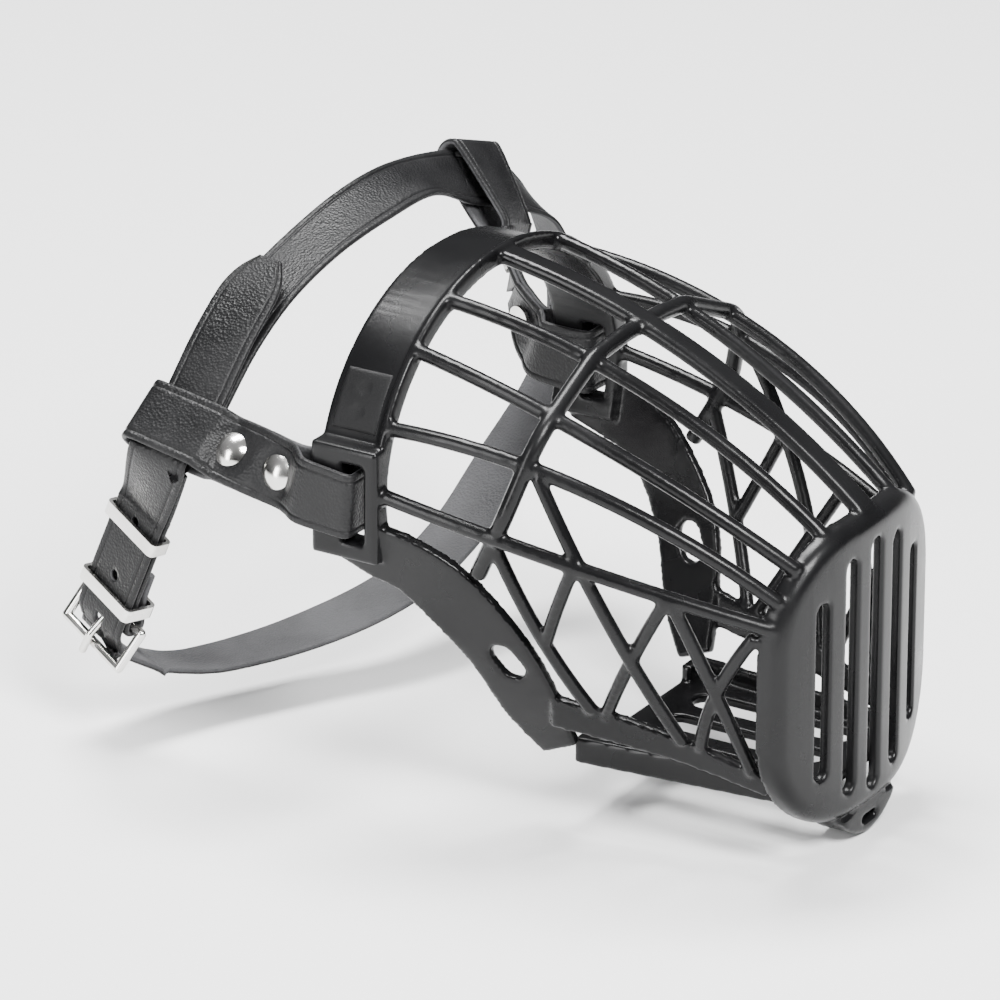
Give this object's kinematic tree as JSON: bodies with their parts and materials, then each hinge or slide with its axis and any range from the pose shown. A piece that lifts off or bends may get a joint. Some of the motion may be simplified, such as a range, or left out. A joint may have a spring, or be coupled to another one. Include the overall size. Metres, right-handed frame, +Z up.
{
  "type": "dog basket muzzle",
  "caption": "Moulded basket muzzle with ribbed cage, slotted nose plate and a buckled neck strap held by two riveted side tabs.",
  "frame": {"origin": "centre of the rim opening where the snout goes in, at mid height of the two strap slots", "axes": "+Y out of the opening towards the neck, the nose points along -Y, +Z up, -X is the dog's right"},
  "size_m": [0.1541, 0.1982, 0.1277],
  "materials": {
    "basket_plastic": "moulded black, satin gloss",
    "strap": "black coated strap with fine grain",
    "nickel": "bright nickel plate"
  },
  "bodies": {
    "basket": {"rim_band": "basket_plastic", "right_slot_frame": "basket_plastic", "left_slot_frame": "basket_plastic", "centre_rib": "basket_plastic", "mid_hoop": "basket_plastic", "right_ribs": "basket_plastic", "left_ribs": "basket_plastic", "right_lattice": "basket_plastic", "left_lattice": "basket_plastic", "right_lower_rim": "basket_plastic", "left_lower_rim": "basket_plastic", "right_side_rail": "basket_plastic", "left_side_rail": "basket_plastic", "bottom_tray": "basket_plastic", "nose_plate": "basket_plastic", "chin_boss": "basket_plastic"},
    "harness": {"right_tab": "strap", "left_tab": "strap", "rivet_caps": "nickel", "rivet_washers": "nickel", "neck_strap": "strap", "buckle_frame": "nickel", "fixed_keeper": "nickel"},
    "prong": {"buckle_prong": "nickel"},
    "keeper": {"sliding_keeper": "nickel"}
  },
  "joints": [
    {"name": "harness_rock", "type": "hinge", "parent": "basket", "child": "harness", "pos_m": [0, 0, 0], "axis": [1, 0, 0], "range_deg": [-8, 4]},
    {"name": "prong_turn", "type": "hinge", "parent": "harness", "child": "prong", "pos_m": [-0.04882, 0.07334, -0.04611], "axis": [0.2668, 0.8895, 0.371], "range_deg": [0, 7]},
    {"name": "keeper_slide", "type": "slide", "parent": "harness", "child": "keeper", "axis": [0, -0.385, 0.9229], "range_m": [-0.005, 0.004]}
  ]
}
